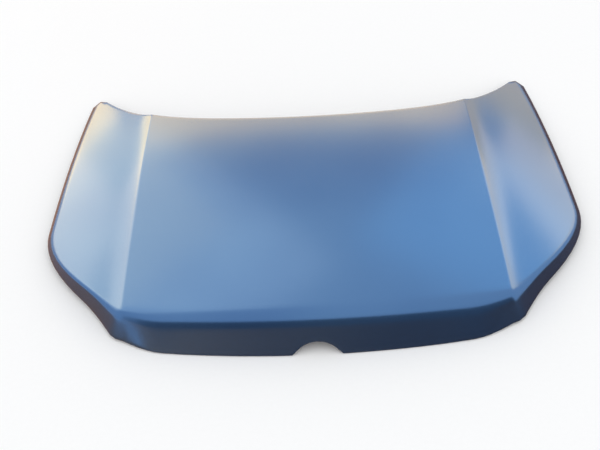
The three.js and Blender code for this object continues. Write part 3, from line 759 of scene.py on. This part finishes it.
def round_line(turn, row):
    """A point of the rod's surface, square to its middle line."""
    spot, radius = stations[row]
    ahead, behind = stations[min(row + 1, len(stations) - 1)][0], stations[max(row - 1, 0)][0]
    along = (ahead - behind).normalized() if (ahead - behind).length > 0 else Vector((0, 0, 1))
    if spot in (line[0], line[-1]):
        along = Vector((0, 0, -1 if spot == line[0] else 1))
    sideways = along.cross(Vector((1, 0, 0)))
    angle = 2 * math.pi * turn
    return spot + radius * (Vector((1, 0, 0)) * math.cos(angle) + sideways * math.sin(angle))


bent_rod = rolled(32, len(stations) - 1, round_line)
loop = to_piece("bent_loop", bent_rod, "striker_steel", rod, "striker_loop", hard=50)
print("striker loop:", len(loop.data.polygons), "faces")

# %% [markdown]
# ## Mastic dabs
# Mastic is squeezed from a nozzle and then pressed flat between two sheets, so a dab has bulging sides. The
# CAD dab is a flat ten-sided pad. Its rims are bevelled once, and a subdivision surface rounds the rest.

# %% Squeeze the dabs
RIM = 0.8 * MM
dabs = []
for node in [node for node in nodes if node.startswith("mastic")]:
    dab = merged_copy(node)
    bmesh.ops.dissolve_limit(dab, angle_limit=math.radians(8), verts=dab.verts, edges=dab.edges)
    round_off(dab, corners_over(dab, 50), RIM, 1)
    dabs.append(to_piece("soft_" + node, dab, "mastic", mastic, node))
    soft_form = dabs[-1].modifiers.new("soft", "SUBSURF")
    soft_form.levels = soft_form.render_levels = 2
print("dabs:", len(dabs))

# %% [markdown]
# ## Light and ground
# A glossy panel shows mostly what stands round it, so the studio matters as much as the paint. The ground
# and everything far away are plain white. Wide soft boxes behind and beside the bonnet draw the pale bands
# along its rear edge, its creases and its shoulders. A dark card before it and brown ones at its foot keep the
# nose dark.

# %% Floor
FLOOR_HALF, FLOOR_Z = 9, -0.0004
floor_finish, shader = new_finish("white_floor", Roughness=0.9, Specular_IOR_Level=0.1)
paper = floor_finish.noise(90, 2.0)
floor_finish.put(floor_finish.blend(paper, linear("f8f8f8"), linear("fbfbfb")), shader.inputs["Base Color"])
ground = bmesh.new()
bmesh.ops.create_grid(ground, x_segments=1, y_segments=1, size=FLOOR_HALF)
bmesh.ops.translate(ground, vec=(0, 0, FLOOR_Z), verts=ground.verts)
floor = new_object("floor", new_data("floor", ground, floor_finish))
floor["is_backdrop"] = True

# %% World
world = bpy.data.worlds.new("studio")
bpy.context.scene.world = world
sky = Finish(world)
sky.tree.nodes.clear()
path = sky.add("ShaderNodeLightPath")
seen = path["Is Camera Ray"] + path["Is Glossy Ray"] + path["Is Transmission Ray"]
soft = sky.add("ShaderNodeBackground", None, {"Color": (0.98, 0.99, 1.0, 1.0), "Strength": 1.04})["Background"]
white = sky.add("ShaderNodeBackground", None, {"Color": (1.0, 1.0, 1.0, 1.0), "Strength": 1.0})["Background"]
both = sky.add("ShaderNodeMixShader", None, {0: seen, 1: soft, 2: white})["Shader"]
sky.add("ShaderNodeOutputWorld", None, {"Surface": both})

# %% [markdown]
# Each soft box is placed by the direction from the bonnet to it, an azimuth from the rear and a height above
# the horizon, because a reflection on the face depends only on that. Its strength is given as brightness,
# so a larger box doesn't look brighter in the paint.

# %% Soft boxes
AWAY = 4


def way_to(azimuth, elevation):
    """A direction from the bonnet, as a vector one metre long."""
    a, e = math.radians(azimuth), math.radians(elevation)
    return Vector((math.sin(a) * math.cos(e), math.cos(a) * math.cos(e), math.sin(e)))


def soft_box(name, azimuth, elevation, width, height, brightness, colour):
    lamp = bpy.data.lights.new(name, "AREA")
    lamp.shape = "RECTANGLE"
    lamp.size, lamp.size_y = width, height
    lamp.energy = brightness * math.pi * width * height
    lamp.color = colour
    box = new_object(name, lamp)
    box.location = way_to(azimuth, elevation) * AWAY
    box.rotation_euler = way_to(azimuth, elevation).to_track_quat("Z", "Y").to_euler()
    box.visible_diffuse = False


soft_box("rear_box", -2, 21, 3.1, 1.35, 3.9, (1.0, 0.4, 0.03))
soft_box("left_wide_box", -54, 44, 4.6, 4.2, 1.05, (1.0, 0.72, 0.45))
soft_box("left_flank_box", -52, 34, 3.5, 2.9, 1.2, (1.0, 0.54, 0.14))
soft_box("left_crease_box", -58, 27, 2.8, 2.1, 1.9, (1.0, 0.48, 0.2))
soft_box("left_low_box", -38, 10, 1.35, 1.0, 4.4, (1.0, 0.48, 0.08))
soft_box("right_box", 50, 25, 2.5, 1.6, 2.6, (1.0, 0.5, 0.2))
soft_box("right_high_box", 38, 44, 2.4, 2.0, 0.45, (0.4, 0.9, 1.0))

# %% [markdown]
# A card is the opposite of a box: it hides the white surroundings from the paint. The one that stands before
# the bonnet is nearly black. The ones on the ground and at its foot are warmer, and lighter to the left. The
# last one, low at the right rear, is the colour of dry ground in the sun.

# %% Cards
def card(name, width, height, place, facing, finish):
    """A card that only glossy surfaces see, so it changes their reflections and nothing else."""
    screen = bmesh.new()
    bmesh.ops.create_grid(screen, x_segments=1, y_segments=1, size=0.5)
    bmesh.ops.scale(screen, vec=(width, height, 1), verts=screen.verts)
    turn = Vector(facing).to_track_quat("Z", "Y").to_matrix()
    bmesh.ops.rotate(screen, cent=(0, 0, 0), matrix=turn, verts=screen.verts)
    bmesh.ops.translate(screen, vec=place, verts=screen.verts)
    made = new_object(name, new_data(name, screen, finish))
    made.visible_camera = made.visible_diffuse = made.visible_shadow = False
    made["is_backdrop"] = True


def card_finish(name, **glow):
    """Dull black, with a glow of its own."""
    return new_finish(name, Base_Color=linear("08090c"), Roughness=1.0, Emission_Strength=1.0, **glow)


dark, _ = card_finish("dark_card", Emission_Color=(0.1, 0.1, 0.11, 1.0))
warm, _ = card_finish("warm_card", Emission_Color=(2.2, 1.35, 0.72, 1.0))
soil, shader = card_finish("soil_card")
across_card = soil.add("ShaderNodeSeparateXYZ", None, {"Vector": soil.add("ShaderNodeTexCoord")["Object"]})["X"]
to_right = soil.range(across_card, -1.4, 0.5)
soil.put(soil.blend(to_right, (0.75, 0.33, 0.14, 1.0), (0.15, 0.05, 0.02, 1.0)), shader.inputs["Emission Color"])
card("front_card", 6.2, 1.6, (0.8, -2.4, 1.3), (0, 1, 0), dark)
card("low_front_card", 6.2, 0.5, (0.8, -2.4, 0.25), (0, 1, 0), soil)
card("ground_card", 3.7, 3.6, (0.92, -0.6, -0.0002), (0, 0, 1), soil)
card("right_card", 1.9, 0.9, way_to(31, 14.5) * AWAY, -way_to(31, 14.5), warm)

# %% [markdown]
# ## Camera
# The camera stands before the nose and looks down at it by 45 degrees, turned a little about its own axis.
# Its three axes give its turn exactly, which is easier to read than three angles.

# %% Camera
ELEVATION, AZIMUTH, ROLL = (math.radians(v) for v in (45, 1.662, -3.906))
TARGET, DISTANCE = Vector((-0.0341, -0.1308, 0.0529)), 2.5
back = Vector(
    (math.sin(AZIMUTH) * math.cos(ELEVATION), -math.cos(AZIMUTH) * math.cos(ELEVATION), math.sin(ELEVATION))
)
right = Vector((math.cos(AZIMUTH), math.sin(AZIMUTH), 0))
up = back.cross(right)
side = right * math.cos(ROLL) + up * math.sin(ROLL)
top = up * math.cos(ROLL) - right * math.sin(ROLL)
lens = bpy.data.cameras.new("camera")
lens.lens = 54.32
lens.sensor_width = 36
camera = new_object("camera", lens)
turn = Matrix((side, top, back)).transposed().to_4x4()
camera.matrix_world = Matrix.Translation(TARGET + back * DISTANCE) @ turn
bpy.context.scene.camera = camera
bpy.context.scene.view_settings.view_transform = "Standard"
print("camera at", [round(v, 3) for v in camera.matrix_world.translation])

# %% [markdown]
# ## Sizes
# The box of everything shown, with the floor and the cards left out, is printed in metres.

# %% Box of what is shown
low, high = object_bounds()
print("visual box:", [round(v, 4) for v in (*low, *high)])
